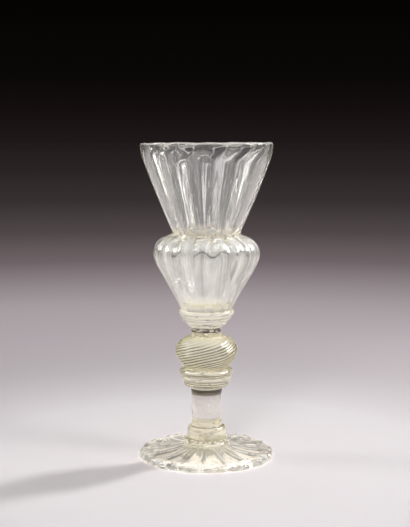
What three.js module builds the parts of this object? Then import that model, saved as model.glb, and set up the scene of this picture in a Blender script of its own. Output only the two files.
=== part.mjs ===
// A stemmed drinking glass, blown and mould-ribbed, then built up hot from separate gathers.
// Millimetres, +Z up. The foot stands on z = 0, centred on the origin, and the front is -Y.

import * as THREE from 'three';

// Ribs: one dip mould gave the bowl, the knop and the foot the same number of ribs.
const ribCount = 16;
const bowlRibDepth = 1.0;
const bowlRibTurnDegrees = -4.75;
const bowlRibRootHeight = 16;
const lipRibDragDegrees = 13;
const lipRibDragHeight = 11;
const lipRibFadeHeight = 5;
const lipRibFade = 0.7;
const knopRibDepth = 0.35;
const knopTwistDegrees = 258;
const footRibDepth = 0.9;
const footRibTurnDegrees = 7.5;
const footLobeDepth = 0.6;

// Foot: a blown plate with its edge folded into a thick rim that the glass stands on.
const footRadius = 35.8;
const footRimWidth = 7;
const footRimHeight = 4;
const footEdgeHeight = 1.0;
const footEdgeOverhang = 1.3;
const footRestWidth = 3.0;
const footPlateEdgeHeight = 3.2;
const footPlateCentreHeight = 6.5;
const footPlateThickness = 2.0;
const footPlateSag = 0.5;

// Gathers from the foot up: thickness along the axis, and the radius that the side swells to.
const padHeight = 3.4;
const padRadius = 11.4;
const annularKnopHeight = 6.8;
const annularKnopRadius = 10.15;
const stemCollarHeight = 2.9;
const stemCollarRadius = 7.95;
const stemHeight = 15.3;
const stemCuffHeight = 2.7;
const stemCuffRadius = 8.05;
const lowerStepHeight = 3.7;
const lowerStepRadius = 11.7;
const lowerRingHeight = 2.6;
const lowerRingRadius = 12.8;
const lowerMereseHeight = 3.5;
const lowerMereseRadius = 13.9;
const knopHeight = 17;
const knopRadius = 16.2;
const knopWidestHeight = 9.6;
const knopUpperFullness = 1.15;
const knopLowerFullness = 1.8;
const neckHeight = 5.4;
const neckWaistRadius = 7.7;
const upperStepHeight = 2.5;
const upperStepRadius = 10.5;
const upperRingHeight = 2.3;
const upperRingRadius = 12.7;
const upperMereseHeight = 3.5;
const upperMereseRadius = 14.4;
const gatherFullness = 0.75;

// Welds: the radius of the flat face where each gather was stuck to the one below it.
const padWeld = 10.9;
const annularKnopWeld = 9.3;
const stemCollarWeld = 8.4;
const stemWeld = 7.6;
const stemCuffWeld = 7.95;
const lowerStepWeld = 8.6;
const lowerRingWeld = 11.9;
const lowerMereseWeld = 12.3;
const knopWeld = 10.4;
const neckWeld = 7.8;
const upperStepWeld = 8.6;
const upperRingWeld = 11.7;
const upperMereseWeld = 12.1;
const bowlWeld = 12.8;

// Bowl: a funnel below, a rounded shoulder, a pinched waist and an open cone up to the lip.
const bowlHeight = 87;
const bowlFloorHeight = 2.6;
const bowlWall = 1.9;
const lipThickness = 2.2;
const shoulderRadius = 27.8;
const shoulderHeight = 29.3;
const shoulderBendHeight = 8;
const funnelCornerDrop = 3;
const roofCornerDrop = 5;
const waistRadius = 17.4;
const waistHeight = 39.8;
const coneSwell = 0.4;
const coneBendShare = 0.7;
const lipRadius = 34.5;
const lipStraight = 6;

// Fineness of the meshes.
const facetsPerRib = 4;
const plainFacets = 36;

const clearOpacity = 0.45;
const thickOpacity = 0.6;
const glass = (color, opacity) => new THREE.MeshStandardMaterial({
  color, opacity, transparent: true, roughness: 0.05, metalness: 0,
});
const clearGlass = 0xeceee6;
const thickGlass = 0xe2e0c6;

// Stack of gathers: each starts where the one below it ends.
const padBase = footPlateCentreHeight;
const annularKnopBase = padBase + padHeight;
const stemCollarBase = annularKnopBase + annularKnopHeight;
const stemBase = stemCollarBase + stemCollarHeight;
const stemCuffBase = stemBase + stemHeight;
const lowerStepBase = stemCuffBase + stemCuffHeight;
const lowerRingBase = lowerStepBase + lowerStepHeight;
const lowerMereseBase = lowerRingBase + lowerRingHeight;
const knopBase = lowerMereseBase + lowerMereseHeight;
const neckBase = knopBase + knopHeight;
const upperStepBase = neckBase + neckHeight;
const upperRingBase = upperStepBase + upperStepHeight;
const upperMereseBase = upperRingBase + upperRingHeight;
const bowlBase = upperMereseBase + upperMereseHeight;

const at = (radius, height) => new THREE.Vector2(radius, height);

// Smooth step from 0 to 1, for ribs that grow out of plain glass.
const grow = (value, from, to) => THREE.MathUtils.smoothstep(value, from, to);

// Round ribs with sharp grooves between them: 0 on a rib's crest, 1 in the groove.
const groove = (angle) => 1 - Math.abs(Math.cos((ribCount / 2) * angle));

const between = (start, end, share) => new THREE.Vector2().lerpVectors(start, end, share);

// Bend between two straight stretches, with the corner that they would meet in.
function bend(start, corner, end, steps) {
  return new THREE.QuadraticBezierCurve(start, corner, end).getPoints(steps);
}

// Turns an outline round +Z. Angle 0 is the front, and it grows towards +X.
function turned(outline, facets) {
  return new THREE.LatheGeometry(outline, facets).rotateX(Math.PI / 2);
}

// Moves every point of a turned body: shape gives a radius, height and angle for each.
function modulated(geometry, outline, shape) {
  const position = geometry.getAttribute('position');
  const columns = position.count / outline.length;
  for (let column = 0; column < columns; column += 1) {
    const angle = (2 * Math.PI * (column % (columns - 1))) / (columns - 1);
    outline.forEach((point, row) => {
      const moved = shape(point, row, angle);
      const x = moved.radius * Math.sin(moved.angle);
      const y = -moved.radius * Math.cos(moved.angle);
      position.setXYZ(column * outline.length + row, x, y, moved.height);
    });
  }
  geometry.computeVertexNormals();
  return geometry;
}

// Rounded side of a gather between its two welds. Fullness below 1 makes the side boxier.
function bulge(lowerWeld, widest, upperWeld, height, steps, fullness = 1) {
  const points = [];
  for (let step = 0; step <= steps; step += 1) {
    const share = step / steps;
    const turn = Math.PI * (share - 0.5);
    const level = (1 + Math.sin(turn)) / 2;
    const plain = THREE.MathUtils.lerp(lowerWeld, upperWeld, level);
    const out = Math.max(0, Math.cos(turn)) ** fullness;
    points.push(at(plain + (widest - plain) * out, height * level));
  }
  return points;
}

function solidOutline(side) {
  return [at(0, side[0].y), ...side, at(0, side[side.length - 1].y)];
}

function piece(name, geometry, base, color, opacity) {
  const mesh = new THREE.Mesh(geometry, glass(color, opacity));
  mesh.name = name;
  mesh.position.z = base;
  return mesh;
}

// A plain gather of solid glass, such as a merese, a collar or the stem.
function gather(name, base, lowerWeld, widest, upperWeld, height, steps = 5, fullness = gatherFullness) {
  const side = bulge(lowerWeld, widest, upperWeld, height, steps, fullness);
  return piece(name, turned(solidOutline(side), plainFacets), base, thickGlass, thickOpacity);
}

// Foot: underside kicked up, folded rim with a flat ring below, ribbed plate, flat centre on top.
function foot() {
  const rimInner = footRadius - footRimWidth;
  const restOuter = footRadius - footEdgeOverhang;
  const restInner = restOuter - footRestWidth;
  const underEdge = footPlateEdgeHeight - footPlateThickness;
  const underCentre = footPlateCentreHeight - footPlateThickness;
  const edge = at(footRadius, footEdgeHeight);
  const crest = at(footRadius - footRimWidth / 2, footRimHeight);
  const sag = at((rimInner + padRadius) / 2, footPlateEdgeHeight + footPlateSag);
  const below = [
    at(0, underCentre),
    at(padWeld, underCentre),
    at(rimInner, underEdge),
    at(restInner, 0),
    ...bend(at(restOuter, 0), at(footRadius, 0), edge, 3),
  ];
  const above = [
    ...bend(edge, at(footRadius, footRimHeight), crest, 4).slice(1),
    ...bend(at(rimInner, footPlateEdgeHeight), sag, at(padRadius, footPlateCentreHeight), 3),
    at(0, footPlateCentreHeight),
  ];
  const outline = [...below, ...above];
  const turn = THREE.MathUtils.degToRad(footRibTurnDegrees);
  const ribbed = (point, row, angle) => {
    const onTop = row >= below.length;
    const ribs = grow(point.x, padRadius, rimInner) * (onTop ? 1 : 0);
    const lobes = grow(point.x, restOuter, footRadius);
    return {
      radius: point.x - footLobeDepth * lobes * groove(angle),
      height: point.y - footRibDepth * ribs * groove(angle),
      angle: angle + turn,
    };
  };
  const geometry = modulated(turned(outline, ribCount * facetsPerRib), outline, ribbed);
  return piece('foot', geometry, 0, clearGlass, clearOpacity);
}

// Side of the knop: a drawn-in lower half, and a rounder upper half up to the neck.
function knopSide(stepsPerHalf) {
  const points = [];
  for (let step = -stepsPerHalf; step <= stepsPerHalf; step += 1) {
    const turn = (Math.PI / 2) * (step / stepsPerHalf);
    const above = step > 0;
    const weld = above ? neckWeld : knopWeld;
    const reach = above ? knopHeight - knopWidestHeight : knopWidestHeight;
    const fullness = above ? knopUpperFullness : knopLowerFullness;
    const out = Math.max(0, Math.cos(turn)) ** fullness;
    const radius = weld + (knopRadius - weld) * out;
    points.push(at(radius, knopWidestHeight + reach * Math.sin(turn)));
  }
  return points;
}

// Knop: a solid ribbed ball, twisted while hot, so that its ribs climb to the right.
function knop() {
  const outline = solidOutline(knopSide(9));
  const twist = THREE.MathUtils.degToRad(knopTwistDegrees);
  const twisted = (point, row, angle) => {
    const share = point.y / knopHeight;
    const ribs = point.x > 0 ? Math.sin(Math.PI * share) : 0;
    return {
      radius: point.x - knopRibDepth * ribs * groove(angle),
      height: point.y,
      angle: angle + twist * (share - 0.5),
    };
  };
  const geometry = modulated(turned(outline, ribCount * facetsPerRib), outline, twisted);
  return piece('twisted_knop', geometry, knopBase, thickGlass, thickOpacity);
}

// Slope of the funnel: radius gained for each millimetre of height.
const funnelSlope = (shoulderRadius - bowlWeld) / (shoulderHeight - funnelCornerDrop);

// Outer side of the bowl, from its weld up to the lip.
function bowlOuterSide() {
  const seat = at(bowlWeld, 0);
  const funnelTopHeight = shoulderHeight - shoulderBendHeight;
  const funnelTop = at(bowlWeld + funnelSlope * funnelTopHeight, funnelTopHeight);
  const funnelCorner = at(shoulderRadius, shoulderHeight - funnelCornerDrop);
  const shoulder = at(shoulderRadius, shoulderHeight);
  const roofCorner = at(shoulderRadius, waistHeight - roofCornerDrop);
  const waist = at(waistRadius, waistHeight);
  const roof = between(roofCorner, waist, 0.5);
  const coneCorner = at(lipRadius, bowlHeight - lipStraight);
  const coneMiddle = between(waist, coneCorner, 0.5);
  coneMiddle.x += 2 * coneSwell;
  const coneTop = between(coneMiddle, coneCorner, coneBendShare);
  const lip = at(lipRadius, bowlHeight - lipThickness / 2);
  return [
    seat,
    between(seat, funnelTop, 0.5),
    ...bend(funnelTop, funnelCorner, shoulder, 3),
    ...bend(shoulder, roofCorner, roof, 4).slice(1),
    ...bend(waist, coneMiddle, coneTop, 3),
    ...bend(coneTop, coneCorner, lip, 4).slice(1),
  ];
}

// Inner side, one wall inside the outer side, from the lip down to the floor.
function bowlInnerSide(outerSide) {
  const inner = outerSide.map((point, row) => {
    const before = outerSide[Math.max(0, row - 1)];
    const after = outerSide[Math.min(outerSide.length - 1, row + 1)];
    const along = after.clone().sub(before).normalize();
    const wall = THREE.MathUtils.lerp(bowlWall, lipThickness, point.y / bowlHeight);
    return at(point.x - along.y * wall, point.y + along.x * wall);
  });
  const above = inner.filter((point) => point.y > bowlFloorHeight + bowlWall);
  return above.reverse();
}

// Bowl: one bubble, ribbed outside, closed below by a thick floor. Near the lip the ribs were
// dragged round to the right, and they melted away in the fire that rounded the lip.
function bowl() {
  const outer = bowlOuterSide();
  const inner = bowlInnerSide(outer);
  const lip = at(outer[outer.length - 1].x - lipThickness / 2, bowlHeight);
  const floorEdge = inner[inner.length - 1];
  const toFloor = funnelSlope * (floorEdge.y - bowlFloorHeight);
  const floorCorner = at(floorEdge.x - toFloor, bowlFloorHeight);
  const floorStart = between(floorEdge, floorCorner, 0.5);
  const floor = bend(floorStart, floorCorner, at(floorCorner.x / 2, bowlFloorHeight), 3);
  const outline = [at(0, 0), ...outer, lip, ...inner, ...floor, at(0, bowlFloorHeight)];
  const turn = THREE.MathUtils.degToRad(bowlRibTurnDegrees);
  const lipDrag = THREE.MathUtils.degToRad(lipRibDragDegrees);
  const ribbed = (point, row, angle) => {
    const outside = row > 0 && row <= outer.length;
    const ribs = grow(point.y, 0, bowlRibRootHeight) * (outside ? 1 : 0);
    const fade = 1 - lipRibFade * grow(point.y, bowlHeight - lipRibFadeHeight, bowlHeight);
    const pressed = bowlRibDepth * ribs * fade * groove(angle);
    const drag = lipDrag * grow(point.y, bowlHeight - lipRibDragHeight, bowlHeight);
    return { radius: point.x - pressed, height: point.y, angle: angle + turn + drag };
  };
  const geometry = modulated(turned(outline, ribCount * facetsPerRib), outline, ribbed);
  return piece('bowl', geometry, bowlBase, clearGlass, clearOpacity);
}

const stemmedGlass = new THREE.Group();
stemmedGlass.add(
  foot(),
  gather('foot_pad', padBase, padWeld, padRadius, annularKnopWeld, padHeight),
  gather('annular_knop', annularKnopBase, annularKnopWeld, annularKnopRadius, stemCollarWeld,
    annularKnopHeight, 6),
  gather('stem_collar', stemCollarBase, stemCollarWeld, stemCollarRadius, stemWeld,
    stemCollarHeight, 3, 1),
  gather('stem', stemBase, stemWeld, (stemWeld + stemCuffWeld) / 2, stemCuffWeld, stemHeight, 4),
  gather('stem_cuff', stemCuffBase, stemCuffWeld, stemCuffRadius, lowerStepWeld, stemCuffHeight, 4),
  gather('lower_step', lowerStepBase, lowerStepWeld, lowerStepRadius, lowerRingWeld,
    lowerStepHeight, 4, 1),
  gather('lower_ring', lowerRingBase, lowerRingWeld, lowerRingRadius, lowerMereseWeld,
    lowerRingHeight),
  gather('lower_merese', lowerMereseBase, lowerMereseWeld, lowerMereseRadius, knopWeld,
    lowerMereseHeight),
  knop(),
  gather('knop_neck', neckBase, neckWeld, neckWaistRadius, upperStepWeld, neckHeight),
  gather('upper_step', upperStepBase, upperStepWeld, upperStepRadius, upperRingWeld,
    upperStepHeight, 4, 1),
  gather('upper_ring', upperRingBase, upperRingWeld, upperRingRadius, upperMereseWeld,
    upperRingHeight),
  gather('upper_merese', upperMereseBase, upperMereseWeld, upperMereseRadius, bowlWeld,
    upperMereseHeight),
  bowl(),
);

export default stemmedGlass;
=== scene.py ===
import math

import bpy
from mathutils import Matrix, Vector


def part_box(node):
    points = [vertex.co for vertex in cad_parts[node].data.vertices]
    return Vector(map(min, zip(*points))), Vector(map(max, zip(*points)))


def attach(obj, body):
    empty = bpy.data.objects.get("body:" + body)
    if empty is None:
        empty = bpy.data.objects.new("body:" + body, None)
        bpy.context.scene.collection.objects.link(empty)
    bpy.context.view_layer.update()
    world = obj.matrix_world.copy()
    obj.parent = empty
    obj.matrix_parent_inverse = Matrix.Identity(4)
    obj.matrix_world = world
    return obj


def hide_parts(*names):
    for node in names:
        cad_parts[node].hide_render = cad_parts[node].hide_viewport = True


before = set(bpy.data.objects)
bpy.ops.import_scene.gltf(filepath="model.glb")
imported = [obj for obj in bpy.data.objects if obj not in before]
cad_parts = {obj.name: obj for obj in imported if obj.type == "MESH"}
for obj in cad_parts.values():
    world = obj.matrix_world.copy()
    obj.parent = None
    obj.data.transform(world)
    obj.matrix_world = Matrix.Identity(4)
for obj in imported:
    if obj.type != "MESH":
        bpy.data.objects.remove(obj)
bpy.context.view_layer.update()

# Camera: at the height of the lip, looking a little down, with a long lens, so that the lip is
# seen edge on and the foot opens into an ellipse.
camera_distance = 0.60
camera_height = 0.166
camera_pitch = math.radians(6.08)
photo_height_px = 527
focal_px = 1160
axis_right_of_centre_px = 1.5

camera_data = bpy.data.cameras.new("camera")
camera_data.sensor_width = 36
camera_data.lens = camera_data.sensor_width * focal_px / photo_height_px
camera_data.clip_start = 0.01
camera_data.clip_end = 100
camera = bpy.data.objects.new("camera", camera_data)
camera.location = (-axis_right_of_centre_px / focal_px * camera_distance, -camera_distance, camera_height)
camera.rotation_euler = (math.pi / 2 - camera_pitch, 0, 0)
bpy.context.collection.objects.link(camera)
scene = bpy.context.scene
scene.camera = camera
scene.view_settings.view_transform = "Standard"

# Clear glass passes light through many faces, and welds are crossed unseen.
scene.cycles.max_bounces = 24
scene.cycles.transmission_bounces = 24
scene.cycles.glossy_bounces = 8
scene.cycles.transparent_max_bounces = 64


# Studio floor: a pale sweep that is lit around the glass. Further away it shows its own tones,
# which fade to near black, so that no lamp has to light it.
class Wire:
    """One output of a shader node. A sum or product with it adds a Math node."""

    def __init__(self, recipe, socket):
        self.recipe = recipe
        self.socket = socket

    def __add__(self, other):
        return self.recipe.maths("ADD", self, other)

    def __sub__(self, other):
        return self.recipe.maths("SUBTRACT", self, other)

    def __rsub__(self, other):
        return self.recipe.maths("SUBTRACT", other, self)

    def __mul__(self, other):
        return self.recipe.maths("MULTIPLY", self, other)

    def __truediv__(self, other):
        return self.recipe.maths("DIVIDE", self, other)

    def __pow__(self, other):
        return self.recipe.maths("POWER", self, other)

    __radd__ = __add__
    __rmul__ = __mul__


class Recipe:
    """The nodes of one material or of the world."""

    def __init__(self, owner):
        owner.use_nodes = True
        self.tree = owner.node_tree
        self.tree.nodes.clear()

    def node(self, kind, settings=None, inputs=None, output=0):
        made = self.tree.nodes.new(kind)
        for name, value in (settings or {}).items():
            if name == "stops":
                self.set_stops(made.color_ramp, value)
            else:
                setattr(made, name, value)
        for name, value in (inputs or {}).items():
            if isinstance(value, Wire):
                self.tree.links.new(value.socket, made.inputs[name])
            else:
                made.inputs[name].default_value = value
        return Wire(self, made.outputs[output])

    def set_stops(self, ramp, stops):
        while len(ramp.elements) < len(stops):
            ramp.elements.new(1.0)
        for element, (place, colour) in zip(ramp.elements, stops):
            element.position = place
            element.color = colour

    def maths(self, operation, *values):
        return self.node("ShaderNodeMath", {"operation": operation}, dict(enumerate(values)))

    def between(self, value, low, high):
        """Smooth step from 0 where value is low to 1 where it is high."""
        inputs = {"Value": value, "From Min": low, "From Max": high}
        return self.node("ShaderNodeMapRange", {"interpolation_type": "SMOOTHSTEP"}, inputs)

    def blend(self, share, first, second):
        """A colour on the way from first to second."""
        inputs = {0: share, 6: first, 7: second}
        return self.node("ShaderNodeMix", {"data_type": "RGBA"}, inputs, output=2)

    def mix(self, share, first, second):
        """A finish on the way from first to second."""
        return self.node("ShaderNodeMixShader", None, {0: share, 1: first, 2: second})

    def noise(self, place, scale, detail):
        return self.node("ShaderNodeTexNoise", None, {"Vector": place, "Scale": scale, "Detail": detail})

    def rays(self, *kinds):
        """One output for each named kind of ray: 1 for such a ray, and 0 for any other."""
        path = self.tree.nodes.new("ShaderNodeLightPath")
        return [Wire(self, path.outputs[f"Is {kind} Ray"]) for kind in kinds]

    def looked_at(self):
        """1 for a ray that is seen, straight or by way of glass, and 0 for light that falls."""
        straight_on, mirrored, through_glass = self.rays("Camera", "Glossy", "Transmission")
        return self.maths("MINIMUM", straight_on + mirrored + through_glass, 1.0)

    def finish(self, shader):
        kind = "ShaderNodeOutputMaterial"
        if self.tree.id_data.name == "World":
            kind = "ShaderNodeOutputWorld"
        end = self.tree.nodes.new(kind)
        self.tree.links.new(shader.socket, end.inputs["Surface"])


def paint(red, green, blue):
    """A colour as it is seen on screen, from 0 to 255, as the linear light that nodes take."""
    def linear(level):
        share = level / 255
        return share / 12.92 if share <= 0.04045 else ((share + 0.055) / 1.055) ** 2.4
    return (linear(red), linear(green), linear(blue), 1.0)


floor_radius = 60.0
floor_sides = 128
lit_to = 0.22
shown_from = 0.60
nearest = 0.10
farthest = 25.6
floor_tones = [
    (0.10, paint(238, 232, 234)),
    (0.13, paint(236, 230, 232)),
    (0.24, paint(208, 200, 203)),
    (0.36, paint(194, 185, 189)),
    (0.60, paint(163, 154, 158)),
    (1.00, paint(110, 100, 103)),
    (1.50, paint(79, 71, 72)),
    (2.60, paint(54, 48, 48)),
    (5.90, paint(41, 36, 35)),
    (25.6, paint(33, 28, 27)),
]

bpy.ops.object.select_all(action="DESELECT")
bpy.ops.mesh.primitive_circle_add(vertices=floor_sides, radius=floor_radius, fill_type="NGON")
floor = bpy.context.object
floor.name = "floor"
floor_material = bpy.data.materials.new("studio_floor")
floor.data.materials.append(floor_material)
recipe = Recipe(floor_material)
place = recipe.node("ShaderNodeTexCoord", output=3)
reach = recipe.node("ShaderNodeVectorMath", {"operation": "LENGTH"}, {0: place}, output=1)
doublings = math.log2(farthest / nearest)
share = recipe.maths("LOGARITHM", recipe.maths("MAXIMUM", reach, nearest) / nearest, 2.0) / doublings
stops = [(math.log2(distance / nearest) / doublings, colour) for distance, colour in floor_tones]
tone = recipe.node("ShaderNodeValToRGB", {"stops": stops}, {"Fac": share})
lit = recipe.node("ShaderNodeBsdfDiffuse", None, {"Color": tone})
shown = recipe.node("ShaderNodeEmission", None, {"Color": tone, "Strength": 1.0})
away = recipe.between(reach, lit_to, shown_from) * recipe.looked_at()
recipe.finish(recipe.mix(away, lit, shown))

# Studio air above the floor: near black behind the glass, with a pale ceiling that is brightest
# over the camera. What it throws on the floor is a plain even fill.
white = (1.0, 1.0, 1.0, 1.0)
night_tones = [
    (0.0, paint(30, 25, 24)),
    (0.026, paint(20, 15, 14)),
    (0.051, paint(11, 9, 8)),
    (0.113, paint(5, 4, 3)),
]
ceiling_behind = 0.15
ceiling_front = 0.9
toward_front = (0.0, -0.45, 0.89)
front_from = 0.40
front_full = 0.75
ceiling_from = 0.18
ceiling_full = 0.40
fill_strength = 0.08

world = bpy.data.worlds.new("World")
scene.world = world
recipe = Recipe(world)
direction = recipe.node("ShaderNodeTexCoord", output=0)
height = recipe.node("ShaderNodeSeparateXYZ", None, {"Vector": direction}, output=2)
night = recipe.node("ShaderNodeValToRGB", {"stops": night_tones}, {"Fac": height})
over_camera = recipe.node("ShaderNodeVectorMath", {"operation": "DOT_PRODUCT"},
                          {0: direction, 1: toward_front}, output=1)
front = recipe.between(over_camera, front_from, front_full)
rise = recipe.between(height, ceiling_from, ceiling_full)
ceiling = rise * (ceiling_behind + (ceiling_front - ceiling_behind) * front)
air = recipe.blend(ceiling, night, white)
fill = recipe.node("ShaderNodeBackground", None, {"Color": white, "Strength": fill_strength})
sky = recipe.node("ShaderNodeBackground", None, {"Color": air, "Strength": 1.0})
recipe.finish(recipe.mix(recipe.looked_at(), fill, sky))

# Studio lamps: a small key lamp behind on the right throws the shadow to the left, and soft panels
# on both sides and in front light the floor and the milky parts. Mirror panels stand round the
# glass, which shows them as bright lines and bands, and throw no light on the floor.
glass_middle = (0, 0, 0.09)
bowl_middle = Vector((0, 0, 0.13))


def lamp_box(name, place, width, height, watts, aim=glass_middle, mirrored=True, lighting=True):
    lamp = bpy.data.lights.new(name, "AREA")
    lamp.shape = "RECTANGLE"
    lamp.size = width
    lamp.size_y = height
    lamp.energy = watts
    box = bpy.data.objects.new(name, lamp)
    box.location = place
    box.rotation_euler = (Vector(aim) - Vector(place)).to_track_quat("-Z", "Y").to_euler()
    box.visible_camera = False
    box.visible_glossy = box.visible_transmission = mirrored
    box.visible_diffuse = lighting
    bpy.context.collection.objects.link(box)


def mirror_panel(name, toward, width, height, radiance, distance=0.95):
    """A panel seen from the middle of the bowl in one direction, which only the glass shows."""
    place = bowl_middle + Vector(toward).normalized() * distance
    watts = radiance * math.pi * width * height
    lamp_box(name, place, width, height, watts, aim=bowl_middle, lighting=False)


lamp_box("key_lamp", (1.025, 0.6875, 0.85), 0.175, 0.175, 15.2, aim=(0, 0, 0), mirrored=False)
lamp_box("right_panel", (0.76, -0.34, 0.42), 0.28, 0.7, 2.6, mirrored=False)
lamp_box("left_panel", (-0.85, 0.10, 0.42), 0.22, 0.8, 2.3, mirrored=False)
lamp_box("front_panel", (-0.20, -0.90, 0.38), 0.30, 0.3, 5.2, mirrored=False)
mirror_panel("left_side_mirror", (-0.80, 0.12, 0.44), 0.55, 0.40, 8.0)
mirror_panel("left_streak_mirror", (0.863, 0.07, 0.506), 0.17, 0.40, 12.0)
mirror_panel("right_side_mirror", (0.80, 0.20, 0.44), 0.50, 0.45, 9.0)
mirror_panel("front_right_mirror", (0.43, -0.61, 0.60), 0.10, 0.45, 10.0)
mirror_panel("front_left_mirror", (-0.62, -0.45, 0.58), 0.08, 0.40, 8.0)
mirror_panel("top_right_mirror", (0.45, 0.24, 0.80), 0.22, 0.22, 4.0)
mirror_panel("overhead_mirror", (0.0, 0.05, 1.0), 0.30, 0.22, 3.0)
mirror_panel("key_glint", (0.82, 0.55, 0.59), 0.14, 0.14, 12.0, distance=1.15)

# Foot: a blown plate with ribs from the mould, its edge folded under into a thick, lumpy rim. It
# stands on the rim, and its middle is kicked up clear of the table.
mm = 0.001
rib_count = 16
columns_per_rib = 14
rib_softness = 0.12


def arc_between(start, corner, end, steps):
    """Points of a smooth bend from start to end, drawn towards a corner."""
    points = []
    for step in range(steps + 1):
        t = step / steps
        weights = ((1 - t) ** 2, 2 * t * (1 - t), t ** 2)
        points.append(tuple(sum(w * p[i] for w, p in zip(weights, (start, corner, end))) for i in (0, 1)))
    return points


def straight(start, end, steps):
    """Points of a straight stretch, without its last one."""
    return [tuple(a + (b - a) * step / steps for a, b in zip(start, end)) for step in range(steps)]


def ease(value, low, high):
    """Smooth step from 0 at low to 1 at high."""
    share = max(0.0, min(1.0, (value - low) / (high - low)))
    return share * share * (3 - 2 * share)


def blow(name, outline, columns=rib_count * columns_per_rib):
    """Turns an outline of radius and height about the axis into a closed body."""
    same_point = 0.00001
    bpy.ops.object.select_all(action="DESELECT")
    first = outline[0]
    bpy.ops.mesh.primitive_plane_add(size=mm, location=(first[0], 0, first[1]))
    piece = bpy.context.object
    piece.name = piece.data.name = name
    bpy.ops.object.mode_set(mode="EDIT")
    bpy.ops.mesh.merge(type="CENTER")
    for before, after in zip(outline, outline[1:]):
        step = (after[0] - before[0], 0, after[1] - before[1])
        bpy.ops.mesh.extrude_region_move(TRANSFORM_OT_translate={"value": step})
    bpy.ops.mesh.select_all(action="SELECT")
    bpy.ops.mesh.spin(steps=columns, angle=2 * math.pi, center=(0, 0, 0), axis=(0, 0, 1))
    bpy.ops.mesh.select_all(action="SELECT")
    bpy.ops.mesh.remove_doubles(threshold=same_point)
    bpy.ops.mesh.normals_make_consistent(inside=False)
    bpy.ops.object.mode_set(mode="OBJECT")
    bpy.ops.object.transform_apply(location=True, rotation=True, scale=True)
    return piece


def weigh(piece, weight):
    """A vertex group that holds, for each point, the share from 0 to 1 that weight gives it."""
    group = piece.vertex_groups.new(name="share")
    for vertex in piece.data.vertices:
        x, y, z = vertex.co
        share = weight(math.hypot(x, y), z, math.atan2(x, -y), vertex.normal)
        if share > 0:
            group.add([vertex.index], share, "REPLACE")
    return group


def apply(piece, modifier):
    bpy.context.view_layer.objects.active = piece
    bpy.ops.object.modifier_apply(modifier=modifier.name)
    piece.vertex_groups.clear()


def press(piece, depth, weight):
    """Sinks the surface by depth where weight gives 1, as a mould or a tool does. The first press
    of a piece also keeps its weight on the mesh, for the finish of the grooves."""
    group = weigh(piece, weight)
    if "pressed" not in piece.data.attributes:
        pressed = piece.data.attributes.new("pressed", "FLOAT", "POINT")
        for vertex in piece.data.vertices:
            pressed.data[vertex.index].value = sum(member.weight for member in vertex.groups)
    sink = piece.modifiers.new("press", "DISPLACE")
    sink.vertex_group = group.name
    sink.mid_level = 0
    sink.strength = -depth
    apply(piece, sink)


def knead(piece, lump, depth, weight, direction="RGB_TO_XYZ"):
    """Pushes hot glass about in soft lumps of one size, the same way for all that lies there."""
    group = weigh(piece, weight)
    texture = bpy.data.textures.new("lumps", "CLOUDS")
    texture.cloud_type = "COLOR"
    texture.noise_scale = lump
    texture.noise_depth = 1
    push = piece.modifiers.new("knead", "DISPLACE")
    push.texture = texture
    push.texture_coords = "GLOBAL"
    push.direction = direction
    push.vertex_group = group.name
    push.mid_level = 0.5
    push.strength = depth
    apply(piece, push)


def above_foot(radius, height, angle, normal):
    return ease(height, 5 * mm, 20 * mm)


def at_rings(radius, height, angle, normal):
    return ease(height, 8 * mm, 14 * mm) * (1 - ease(height, 74 * mm, 86 * mm))


def at_seat(radius, height, angle, normal):
    near = 1 - ease(radius, 13 * mm, 17 * mm)
    return near * ease(height, 5 * mm, 6.5 * mm) * (1 - ease(height, 9 * mm, 12 * mm))


def hand_work(piece):
    """What the maker's hand leaves: a lean, slightly tilted rings and a lumpy seat on the foot."""
    knead(piece, lump=45 * mm, depth=0.9 * mm, weight=above_foot)
    knead(piece, lump=11 * mm, depth=0.7 * mm, weight=at_rings)
    knead(piece, lump=4 * mm, depth=1.2 * mm, weight=at_seat)


def dress(piece, node, slot, *materials):
    for material in materials:
        piece.data.materials.append(material)
    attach(piece, "root")
    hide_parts(node)


def smooth(piece):
    """Shades the surface round, but for edges as sharp as those at the welds."""
    sharp_from = math.radians(42)
    bpy.context.view_layer.objects.active = piece
    piece.select_set(True)
    bpy.ops.object.shade_smooth_by_angle(angle=sharp_from)


def show_welds(piece, low=None, high=None):
    """Gives the flat weld faces at the named heights the unseen weld material."""
    flat = 0.999
    same_height = 0.02 * mm
    for face in piece.data.polygons:
        level = face.center.z
        for weld in (low, high):
            if weld is not None and abs(level - weld) < same_height and abs(face.normal.z) > flat:
                face.material_index = 1


def uneven(angle):
    """The ribs of a hand-made mould are not quite evenly spaced."""
    coarse = 0.020 * math.sin(3 * angle + 1.3)
    fine = 0.012 * math.sin(5 * angle + 4.0)
    return angle + coarse + fine


def groove(angle, softness=rib_softness):
    """0 on the round crest of a rib and 1 in the sharp groove between two ribs."""
    crest = math.hypot(math.cos(rib_count / 2 * uneven(angle)), softness)
    return max(0.0, 1 - (crest - softness) / (math.hypot(1, softness) - softness))


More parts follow.
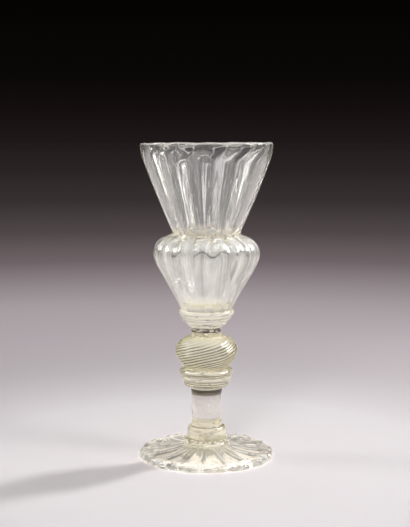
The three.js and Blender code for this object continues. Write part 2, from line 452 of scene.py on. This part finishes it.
# Where marks show in the glass, painted light and shade among them. A pair is the level from which
# a mark shows and the level at which it is full: of a noise for cords, dashes and spots, of a groove's
# depth for the painted sheen on its flanks, of how far the wall turns away for the painted edge
# light, and of the distance from a seed's middle. front_half is such a pair along the view, for the
# seeds. A dark line runs where the cords' noise is within line_reach of line_level, and at
# calm_level a cord shows neither as a dark line nor as a white one.
line_level = 0.5
line_reach = 0.03
calm_level = 0.47
calm_fade = 3 * mm
broad_levels = (0.54, 0.59)
dash_levels = (0.44, 0.52)
spot_levels = (0.56, 0.61)
spot_fade = 0.3 * mm
spot_flatness = 2.0
skin_fineness = 160.0
skin_share = 0.3
flank_inner = (0.12, 0.24)
flank_outer = (0.46, 0.32)
# The painted sheen: its share on the broad cords, how it fades at its top height, and its share above it.
broad_painted_sheen = 0.35
painted_sheen_fade = 4 * mm
painted_sheen_above_top = 0.2
edge_light_turn = (0.80, 0.93)
seed_edge = (1.2, 0.5)
seed_white = 0.9
front_half = (0.0, -1 * mm)
least_radius = 0.5 * mm
glass_ior = 1.55
# Dark brown for the cords, and for the shade painted into the grooves and the painted dark spots.
cord_and_shade_brown = (0.12, 0.10, 0.07, 1)
# The white mixed into the glass for the painted sheen, the white zones and the seeds.
painted_white = (0.93, 0.92, 0.90, 1)
# The cream of the painted edge light.
edge_light_cream = (0.95, 0.90, 0.72, 1)


def glass(name, tint, edge, clear, shadow_tint, around, along, relief, cord_shade=0.0, groove_shade=0.0,
          sharpness=1.5, painted_at_sides=0.0, spots=None, painted_sheen=0.0, painted_sheen_top=1.0, painted_edge_light=0.0, bands=(), dashes=(),
          scallop=0.0, white_zones=(), seeds=(), calm_above=1.0):
    """Fire-polished glass with fine cords in it. Heights and sizes are in metres.

    tint and edge are its colour face on and along the wall, clear is the share of light that it
    passes, and shadow_tint what its shadow lets through.
    around is how closely the cords lie round the axis, along how often they change in a metre of
    height, and relief how high they stand. They melt away just above the height calm_above.
    cord_shade is how dark the cords are, and groove_shade how dark the shade is that is painted
    into the pressed grooves. A groove's painted line is narrower the greater sharpness is, and
    weaker by sides at the front and the back, so that painted shade and sheen lie mostly on the
    left and the right.
    spots are small painted dark marks, with their lower and upper height, their fineness and their
    shade; on the foot's rim they stand in for dark reflections.
    silver is how much painted highlight in white the flanks of the grooves and the broad cords
    show, up to the height painted_sheen_top and more weakly above it, and glow how much painted cream
    light the wall shows where it is seen along its length.
    Each of the bands is a zone of another colour, with its lower and upper height, the softness
    of its edges, its colour and amount; some are the glass's own tint, and some painted shade. The
    dashes are the same, broken up by the cords, and the mist is the same in white, without a
    colour. All three dip by scallop in each groove.
    The seeds are tiny bubbles in the front wall, each with its place across and up, its half
    width and half length."""
    material = bpy.data.materials.new(name)
    recipe = Recipe(material)

    def zone(level, low, high, soft):
        return recipe.between(level, low - soft, low + soft) * recipe.between(level, high + soft, high - soft)

    def ragged_zone(low, high, soft):
        return zone(z + (cords - line_level) * 2 * soft + pressed * scallop, low, high, soft)

    place = recipe.node("ShaderNodeTexCoord", output=3)
    split = recipe.tree.nodes.new("ShaderNodeSeparateXYZ")
    recipe.tree.links.new(place.socket, split.inputs[0])
    x, y, z = (Wire(recipe, split.outputs[axis]) for axis in (0, 1, 2))
    radius = recipe.maths("MAXIMUM", (x * x + y * y) ** 0.5, least_radius)
    pressed = recipe.node("ShaderNodeAttribute", {"attribute_name": "pressed"}, output=2)
    outside = 1 - recipe.node("ShaderNodeNewGeometry", output=6)
    facing = recipe.node("ShaderNodeLayerWeight", None, {"Blend": 0.5}, output=1)

    cords_place = recipe.node("ShaderNodeCombineXYZ", None,
                              {0: x / radius * around, 1: y / radius * around, 2: z * along})
    wavy = recipe.noise(cords_place, 1.0, 2.0)
    cords = calm_level + (wavy - calm_level) * recipe.between(z, calm_above + calm_fade, calm_above)
    skin = recipe.noise(place, skin_fineness, 1.0)
    bump = recipe.node("ShaderNodeBump", None,
                       {"Height": cords + skin * skin_share, "Strength": 1.0, "Distance": relief})

    lines = recipe.between(recipe.maths("ABSOLUTE", cords - line_level), line_reach, 0.0)
    # Painted shade: the pressed grooves are darkened in the colour, less at the front and the back than on
    # the left and the right.
    side = 1 - painted_at_sides + (x / radius) ** 2.0 * painted_at_sides
    shade = lines * cord_shade + pressed ** sharpness * side * groove_shade
    # Small painted dark spots; on the foot's rim they stand in for dark reflections.
    if spots:
        low, high, fineness, spot_shade = spots
        flattened = recipe.node("ShaderNodeCombineXYZ", None, {0: x, 1: y, 2: z * spot_flatness})
        spot = recipe.between(recipe.noise(flattened, fineness, 1.0), *spot_levels)
        shade = shade + spot * zone(z, low, high, spot_fade) * spot_shade
    dark = recipe.maths("MINIMUM", shade, 1.0) * outside
    colour = recipe.blend(dark, recipe.blend(facing ** 2.0, tint, edge), cord_and_shade_brown)
    # Bands and dashes: some are the glass's own tint, and the near-black ones are painted shade.
    for low, high, soft, band_colour, amount in bands:
        colour = recipe.blend(ragged_zone(low, high, soft) * outside * amount, colour, band_colour)
    for low, high, soft, dash_colour, amount in dashes:
        broken = ragged_zone(low, high, soft) * recipe.between(cords, *dash_levels)
        colour = recipe.blend(broken * outside * amount, colour, dash_colour)
    body = recipe.node("ShaderNodeBsdfPrincipled", None, {
        "Base Color": colour, "Roughness": 0.0, "IOR": glass_ior, "Specular IOR Level": 1.0,
        "Transmission Weight": clear, "Normal": bump})

    # Painted sheen: white on the flanks of the grooves and on the broad cords, stronger on the left and the
    # right.
    flank = recipe.between(pressed, *flank_inner) * recipe.between(pressed, *flank_outer)
    broad = recipe.between(cords, *broad_levels)
    below_top = recipe.between(z, painted_sheen_top + painted_sheen_fade, painted_sheen_top)
    sheen_by_height = below_top * (1 - painted_sheen_above_top) + painted_sheen_above_top
    whitening = (flank * side + broad * broad_painted_sheen) * painted_sheen * sheen_by_height
    # White mixed in over the given heights, and at the seeds.
    for low, high, soft, amount in white_zones:
        whitening = whitening + ragged_zone(low, high, soft) * amount
    whitening = whitening * (1 - dark)
    for across, up, half_width, half_length in seeds:
        off = ((x - across) / half_width) ** 2.0 + ((z - up) / half_length) ** 2.0
        whitening = whitening + recipe.between(off, *seed_edge) * recipe.between(y, *front_half) * seed_white
    white_layer = recipe.node("ShaderNodeBsdfDiffuse", None, {"Color": painted_white})
    body = recipe.mix(whitening, body, white_layer)
    # Painted edge light: cream mixed in where the wall is seen along its length.
    edge_light = recipe.node("ShaderNodeBsdfDiffuse", None, {"Color": edge_light_cream})
    body = recipe.mix(recipe.between(facing, *edge_light_turn) * painted_edge_light * outside, body, edge_light)

    shadow = recipe.rays("Shadow")[0]
    through = recipe.node("ShaderNodeBsdfTransparent", None, {"Color": shadow_tint})
    recipe.finish(recipe.mix(shadow, body, through))
    return material


def weld_glass():
    """Fused glass has no face at a weld, so light goes straight on."""
    material = bpy.data.materials.new("fused_weld")
    recipe = Recipe(material)
    recipe.finish(recipe.node("ShaderNodeBsdfTransparent", None, {"Color": white}))
    return material


# The foot's grooves carry painted shade, and its rim painted dark spots that stand in for reflections of the
# dark studio.
foot_glass = glass(
    "foot_glass", tint=(0.96, 0.93, 0.84, 1), edge=(0.93, 0.89, 0.76, 1), clear=0.975,
    shadow_tint=(0.97, 0.97, 0.96, 1), around=6.0, along=60.0, relief=0.0001, cord_shade=0.35,
    groove_shade=1.7, sharpness=5.0, painted_at_sides=0.2, spots=(0.0, 0.0045, 300.0, 0.55), painted_sheen=0.28,
    white_zones=[(0.0, 0.0045, 0.0002, 0.08)])
fused_weld = weld_glass()

rib_turn_foot = math.radians(7.5)
pad_weld = 10.9 * mm
foot_radius = 35.4 * mm
foot_rim_width = 7.0 * mm
foot_rim_height = 4.0 * mm
foot_rim_inner_bulge = 0.9 * mm
foot_edge_height = 1.0 * mm
foot_edge_overhang = 1.3 * mm
foot_rest_width = 3.0 * mm
foot_plate_edge = 3.2 * mm
foot_plate_sag = 0.5 * mm
foot_plate_thickness = 2.0 * mm
foot_under_bend = 4 * mm
foot_rib_depth = 0.9 * mm
foot_rib_sharpness = 2.2
foot_rib_under = 0.15
foot_rib_rim_fade = 0.6
rim_lobe_depth = 0.6 * mm
rim_lump = 4 * mm
rim_lump_depth = 2.0 * mm
foot_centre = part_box("foot")[1].z
rim_inner = foot_radius - foot_rim_width
rest_outer = foot_radius - foot_edge_overhang
rest_inner = rest_outer - foot_rest_width
under_centre = foot_centre - foot_plate_thickness
under_edge = foot_plate_edge - foot_plate_thickness
under_bend = (pad_weld + foot_under_bend, under_centre)
rim_edge = (foot_radius, foot_edge_height)
rim_crest = (foot_radius - 0.5 * foot_rim_width, foot_rim_height)
rim_bulge = (rim_inner + foot_rim_inner_bulge, foot_rim_height)
plate_sag = ((rim_inner + pad_weld) / 2, foot_plate_edge + foot_plate_sag)
foot_outline = [
    *arc_between((0, under_centre), under_bend, (rim_inner, under_edge), 22)[:-1],
    *straight((rim_inner, under_edge), (rest_inner, 0), 5),
    *straight((rest_inner, 0), (rest_outer, 0), 5),
    *arc_between((rest_outer, 0), (foot_radius, 0), rim_edge, 8)[:-1],
    *arc_between(rim_edge, (foot_radius, foot_rim_height), rim_crest, 14)[:-1],
    *arc_between(rim_crest, rim_bulge, (rim_inner, foot_plate_edge), 12)[:-1],
    *arc_between((rim_inner, foot_plate_edge), plate_sag, (pad_weld, foot_centre), 30),
    (0, foot_centre),
]


def plate_ribs(radius, height, angle, normal):
    """Between two ribs the plate is thinner, from the pad out to the rim."""
    grow = ease(radius, pad_weld - 0.5 * mm, pad_weld + 2 * mm)
    fade = 1 - foot_rib_rim_fade * ease(radius, rim_inner - 1 * mm, rim_inner + 2 * mm)
    side = ease(height, 0, 0.3 * mm) * (1.0 if normal.z > 0 else foot_rib_under)
    return grow * fade * side * groove(angle - rib_turn_foot) ** foot_rib_sharpness


def rim_lobes(radius, height, angle, normal):
    """The folded edge is drawn in at each groove."""
    return ease(radius, foot_radius - 3 * mm, foot_radius) * groove(angle - rib_turn_foot)


def on_rim(radius, height, angle, normal):
    """The rim is lumpy, but for the flat ring that it stands on."""
    return ease(radius, rim_inner - 1 * mm, rim_inner + 1 * mm) * ease(height, 0.3 * mm, 2.5 * mm)


foot = blow("foot", foot_outline)
press(foot, foot_rib_depth, plate_ribs)
press(foot, rim_lobe_depth, rim_lobes)
knead(foot, rim_lump, rim_lump_depth, on_rim)
show_welds(foot, high=foot_centre)
hand_work(foot)
smooth(foot)
dress(foot, "foot", "clear_glass", foot_glass, fused_weld)

# Plain gathers, from the foot up: each is a drop of hot glass set on the one below and tooled
# into a disc, a ring, a collar or a short rod, with a rounded side between its two welds.
thick_shadow = (0.30, 0.29, 0.26, 1)
tool_mark_reach = 0.0002
tool_mark_softness = 0.00015
tool_mark_brown = (0.09, 0.07, 0.035, 1)
tool_mark_strength = 0.85
tool_mark_levels = [0.0761, 0.0742, 0.0731, 0.0708, 0.0450, 0.0437, 0.0412, 0.0400, 0.0390, 0.0381,
                    0.0167, 0.0101]
tool_marks = [(level - tool_mark_reach, level + tool_mark_reach, tool_mark_softness, tool_mark_brown,
               tool_mark_strength) for level in tool_mark_levels]
thick_glass = glass(
    "thick_glass", tint=(0.97, 0.925, 0.76, 1), edge=(0.93, 0.87, 0.60, 1), clear=0.70,
    shadow_tint=thick_shadow, around=0.9, along=420.0, relief=0.00025, cord_shade=0.6, painted_sheen=0.15,
    painted_edge_light=0.5, bands=tool_marks, white_zones=[(0.0412, 0.0440, 0.0003, 0.12), (0.0698, 0.0781, 0.0003, 0.30)])
# The black band on the cuff is painted shade.
cuff_glass = glass(
    "cuff_glass", tint=(0.98, 0.95, 0.83, 1), edge=(0.94, 0.88, 0.66, 1), clear=0.70,
    shadow_tint=thick_shadow, around=0.6, along=600.0, relief=0.0001, cord_shade=0.7, painted_edge_light=0.6,
    bands=[(0.0340, 0.0366, 0.0002, (0.02, 0.014, 0.003, 1), 1.0)])
# The dark brown band at the top of the stem, under the cuff, is painted shade.
stem_glass = glass(
    "stem_glass", tint=(0.91, 0.88, 0.845, 1), edge=(0.95, 0.92, 0.84, 1), clear=0.88,
    shadow_tint=thick_shadow, around=1.2, along=120.0, relief=0.00005, cord_shade=0.15, painted_edge_light=0.7,
    bands=[(0.0336, 0.0352, 0.0007, (0.10, 0.072, 0.025, 1), 1.0),
           (0.0194, 0.0208, 0.0003, (0.62, 0.57, 0.38, 1), 0.8)],
    seeds=[(0.0012, 0.0288, 0.00035, 0.0012), (0.0020, 0.0312, 0.0003, 0.0004),
           (0.0026, 0.0322, 0.0002, 0.0002)])
# The black band and the dark dashes round the neck are painted shade.
neck_glass = glass(
    "neck_glass", tint=(0.97, 0.94, 0.82, 1), edge=(0.92, 0.86, 0.64, 1), clear=0.82,
    shadow_tint=thick_shadow, around=2.5, along=1100.0, relief=0.00003, cord_shade=0.5, painted_edge_light=0.5,
    bands=[(0.0667, 0.0671, 0.0002, (0.001, 0.001, 0.0005, 1), 1.0)],
    dashes=[(0.0669, 0.0687, 0.0004, (0.040, 0.026, 0.006, 1), 1.0)])
finishes = {"stem": stem_glass, "stem_cuff": cuff_glass, "knop_neck": neck_glass}

# Radii in millimetres: of each gather's lower and upper weld, and of its side between them where
# that isn't as wide as its node. Its side is widest halfway up, or at the share of its height
# in widest_at, and the greater its taper is, the sooner it narrows towards its welds.
welds = {
    "foot_pad": (10.9, 9.3),
    "annular_knop": (9.3, 8.4),
    "stem_collar": (8.4, 7.6),
    "stem": (7.6, 7.95),
    "stem_cuff": (7.95, 8.6),
    "lower_step": (8.6, 11.9),
    "lower_ring": (11.9, 12.3),
    "lower_merese": (12.3, 10.4),
    "knop_neck": (7.8, 8.6),
    "upper_step": (8.6, 11.7),
    "upper_ring": (11.7, 12.1),
    "upper_merese": (12.1, 12.8),
}
middles = {
    "stem": 7.78, "stem_collar": 7.95, "stem_cuff": 8.05, "lower_step": 11.7, "knop_neck": 7.7,
    "upper_step": 10.5, "foot_pad": 12.2,
}
widest_at = {"foot_pad": 0.32}
usual_taper = 0.75
taper = {"lower_step": 1.0, "upper_step": 1.0, "stem_collar": 1.0, "stem_cuff": 1.0, "knop_neck": 1.0}
gather_rows = 24


def gather(name):
    low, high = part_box(name)
    lower, upper = (weld * mm for weld in welds[name])
    widest = middles.get(name, high.x / mm) * mm
    lean = math.log(0.5) / math.log(widest_at.get(name, 0.5))
    side = []
    for row in range(gather_rows + 1):
        turn = math.pi * (row / gather_rows - 0.5)
        level = (1 + math.sin(turn)) / 2
        plain = lower + (upper - lower) * level
        out = math.sin(math.pi * (row / gather_rows) ** lean) ** taper.get(name, usual_taper)
        side.append((plain + (widest - plain) * out, low.z + (high.z - low.z) * level))
    piece = blow(name, [(0, low.z), *side, (0, high.z)])
    show_welds(piece, low.z, high.z)
    hand_work(piece)
    smooth(piece)
    dress(piece, name, "thick_glass", finishes.get(name, thick_glass), fused_weld)


for name in welds:
    gather(name)

# Knop: a solid ball of glass dipped in the ribbed mould and twisted while hot, so that its ribs
# climb to the right.
# Its grooves are darkened with painted shade.
knop_glass = glass(
    "knop_glass", tint=(0.96, 0.925, 0.76, 1), edge=(0.90, 0.82, 0.48, 1), clear=0.60,
    shadow_tint=thick_shadow, around=5.0, along=500.0, relief=0.00003, groove_shade=1.8,
    sharpness=2.0, painted_edge_light=0.5)
knop_low, knop_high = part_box("twisted_knop")
knop_rib_depth = 0.35 * mm
knop_softness = 0.05
knop_rib_melt = 0.8
knop_twist = math.radians(258)
knop_lower_weld = 10.4 * mm
knop_upper_weld = 7.8 * mm
knop_lower_taper = 1.8
knop_upper_taper = 1.15
knop_radius = knop_high.x
knop_widest = knop_low.z + 9.6 * mm
knop_rows = 40
knop_side = []
for row in range(-knop_rows, knop_rows + 1):
    turn = math.pi / 2 * row / knop_rows
    weld = knop_upper_weld if row > 0 else knop_lower_weld
    reach = knop_high.z - knop_widest if row > 0 else knop_widest - knop_low.z
    out = max(0.0, math.cos(turn)) ** (knop_upper_taper if row > 0 else knop_lower_taper)
    knop_side.append((weld + (knop_radius - weld) * out, knop_widest + reach * math.sin(turn)))


def knop_ribs(radius, height, angle, normal):
    """The ribs are sharp below and melt away towards the neck."""
    share = (height - knop_low.z) / (knop_high.z - knop_low.z)
    return ease(share, 0, 0.12) * (1 - knop_rib_melt * ease(share, 0.66, 0.95)) * groove(angle, knop_softness)


knop = blow("twisted_knop", [(0, knop_low.z), *knop_side, (0, knop_high.z)])
press(knop, knop_rib_depth, knop_ribs)
twist = knop.modifiers.new("twist", "SIMPLE_DEFORM")
twist.deform_method = "TWIST"
twist.deform_axis = "Z"
twist.angle = knop_twist
apply(knop, twist)
show_welds(knop, knop_low.z, knop_high.z)
hand_work(knop)
smooth(knop)
dress(knop, "twisted_knop", "thick_glass", knop_glass, fused_weld)

# Bowl: one bubble blown in the ribbed mould, pinched at the waist, with a thick bottom and a
# fire-polished lip. Near the lip its ribs were dragged round to the right.
# Its grooves and the near-black scalloped dashes on its roof carry painted shade.
bowl_glass = glass(
    "bowl_glass", tint=(0.98, 0.975, 0.955, 1), edge=(0.90, 0.87, 0.74, 1), clear=0.965,
    shadow_tint=(0.86, 0.86, 0.84, 1), around=4.0, along=5.0, relief=0.0003, calm_above=0.159,
    cord_shade=0.35, groove_shade=0.5, painted_at_sides=0.5, spots=(0.1160, 0.1182, 450.0, 0.9), painted_sheen=0.15,
    painted_sheen_top=0.119, painted_edge_light=0.2, scallop=0.0025,
    bands=[(0.1168, 0.1212, 0.0006, (0.93, 0.85, 0.62, 1), 0.8),
           (0.0775, 0.0830, 0.0010, (0.97, 0.90, 0.66, 1), 0.6),
           (0.1640, 0.1660, 0.0003, (0.97, 0.92, 0.78, 1), 0.7)],
    dashes=[(0.1101, 0.1110, 0.0004, (0.02, 0.02, 0.015, 1), 1.0)],
    white_zones=[(0.078, 0.116, 0.002, 0.08), (0.0775, 0.0812, 0.0008, 0.15),
          (0.1118, 0.1150, 0.0006, 0.15), (0.1645, 0.1660, 0.0004, 0.35)],
    seeds=[(-0.0065, 0.0935, 0.0006, 0.0011), (-0.0140, 0.0960, 0.0008, 0.0006),
           (-0.0150, 0.0945, 0.0006, 0.0006)])
bowl_low, bowl_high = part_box("bowl")
bowl_columns_per_rib = 20
rib_turn_bowl = math.radians(-4.75)
lip_room = 0.4 * mm
bowl_weld = 12.8 * mm
bowl_floor = 2.6 * mm
bowl_floor_flat = 0.4
bowl_wall = 1.9 * mm
waist_fold = 1.0 * mm
waist_fold_reach = 2.5 * mm
lip_thickness = 2.0 * mm
lip_steps = 10
bowl_rib_depth = 1.0 * mm
inner_rib_share = 0.4
lip_rib_fade = 0.45
shoulder_rib_swell = 0.5
rib_drag = math.radians(13)
rib_drag_side = math.radians(40)
least_drag = 0.1
shoulder_radius = 27.8 * mm
shoulder_height = 29.3 * mm
shoulder_bend = 8 * mm
funnel_corner_drop = 3 * mm
roof_corner_drop = 5 * mm
waist_radius = 17.4 * mm
waist_height = 39.8 * mm
cone_swell = 0.4 * mm
cone_bend_at = 0.7
lip_radius = 34.7 * mm
lip_straight = 4.2 * mm
lip_tuck = 0.5 * mm
bowl_height = bowl_high.z - bowl_low.z - lip_room
funnel_slope = (shoulder_radius - bowl_weld) / (shoulder_height - funnel_corner_drop)
funnel_top = (bowl_weld + funnel_slope * (shoulder_height - shoulder_bend), shoulder_height - shoulder_bend)
funnel_corner = (shoulder_radius, shoulder_height - funnel_corner_drop)
shoulder = (shoulder_radius, shoulder_height)
roof_corner = (shoulder_radius, waist_height - roof_corner_drop)
waist = (waist_radius, waist_height)
roof = ((roof_corner[0] + waist[0]) / 2, (roof_corner[1] + waist[1]) / 2)
cone_corner = (lip_radius, bowl_height - lip_straight)
cone_middle = ((waist[0] + cone_corner[0]) / 2 + 2 * cone_swell, (waist[1] + cone_corner[1]) / 2)
cone_top = tuple(a + cone_bend_at * (b - a) for a, b in zip(cone_middle, cone_corner))
lip_level = bowl_height - lip_thickness / 2
outer = [
    *straight((bowl_weld, 0), funnel_top, 20),
    *arc_between(funnel_top, funnel_corner, shoulder, 14)[:-1],
    *arc_between(shoulder, roof_corner, roof, 14)[:-1],
    *straight(roof, waist, 8),
    *arc_between(waist, cone_middle, cone_top, 44)[:-1],
    *arc_between(cone_top, cone_corner, (lip_radius - lip_tuck, lip_level), 20),
]
inner = []
for row, point in enumerate(outer):
    before = outer[max(0, row - 1)]
    after = outer[min(len(outer) - 1, row + 1)]
    along = (after[0] - before[0], after[1] - before[1])
    long = math.hypot(*along)
    thickening = (lip_thickness - bowl_wall) * ease(point[1], bowl_height - 5 * mm, bowl_height - 2 * mm)
    fold = waist_fold * (1 - ease(abs(point[1] - waist_height), 0, waist_fold_reach))
    wall = bowl_wall + thickening + fold
    inner.append((point[0] - along[1] / long * wall, point[1] + along[0] / long * wall))
inner = [point for point in reversed(inner) if point[1] > bowl_floor + bowl_wall]
lip_round = lip_thickness / 2
lip_middle = lip_radius - lip_tuck - lip_round
lip = []
for step in range(1, lip_steps):
    turn = math.pi * step / lip_steps
    lip.append((lip_middle + lip_round * math.cos(turn), lip_level + lip_round * math.sin(turn)))
floor_edge = inner[-1]
floor_corner = (floor_edge[0] - funnel_slope * (floor_edge[1] - bowl_floor), bowl_floor)
floor_flat = (bowl_floor_flat * floor_corner[0], bowl_floor)
bowl_outline = [(0, 0), *outer, *lip, *inner]
bowl_outline += arc_between(floor_edge, floor_corner, floor_flat, 10)[1:]
bowl_outline += [(0, bowl_floor)]
bowl_outline = [(radius, height + bowl_low.z) for radius, height in bowl_outline]


def bowl_ribs(radius, height, angle, normal):
    """Ribs stand out outside, and show more weakly inside the wall."""
    up = height - bowl_low.z
    dragged = least_drag + (1 - least_drag) * max(0.0, math.cos(angle - rib_drag_side)) ** 2
    drag = rib_drag * dragged * ease(up, bowl_height - 11 * mm, bowl_height - 2 * mm)
    fade = 1 - lip_rib_fade * ease(up, bowl_height - 12 * mm, bowl_height - 1 * mm)
    outside = normal.x * math.sin(angle) - normal.y * math.cos(angle) > 0
    side = 1.0 if outside else inner_rib_share
    swell = 1 + shoulder_rib_swell * ease(up, 20 * mm, 28 * mm) * (1 - ease(up, 34 * mm, 38 * mm))
    return ease(up, 7 * mm, 24 * mm) * fade * side * swell * groove(angle - rib_turn_bowl - drag)


def near_lip(radius, height, angle, normal):
    return ease(height, bowl_high.z - 10 * mm, bowl_high.z - 3 * mm)


def near_waist(radius, height, angle, normal):
    return 1 - ease(abs(height - bowl_low.z - waist_height + 2 * mm), 2 * mm, 5 * mm)


bowl = blow("bowl", bowl_outline, rib_count * bowl_columns_per_rib)
press(bowl, bowl_rib_depth, bowl_ribs)
show_welds(bowl, low=bowl_low.z)
hand_work(bowl)
knead(bowl, lump=14 * mm, depth=0.7 * mm, weight=near_lip, direction="Z")
knead(bowl, lump=5 * mm, depth=1.6 * mm, weight=near_waist)
smooth(bowl)
dress(bowl, "bowl", "clear_glass", bowl_glass, fused_weld)
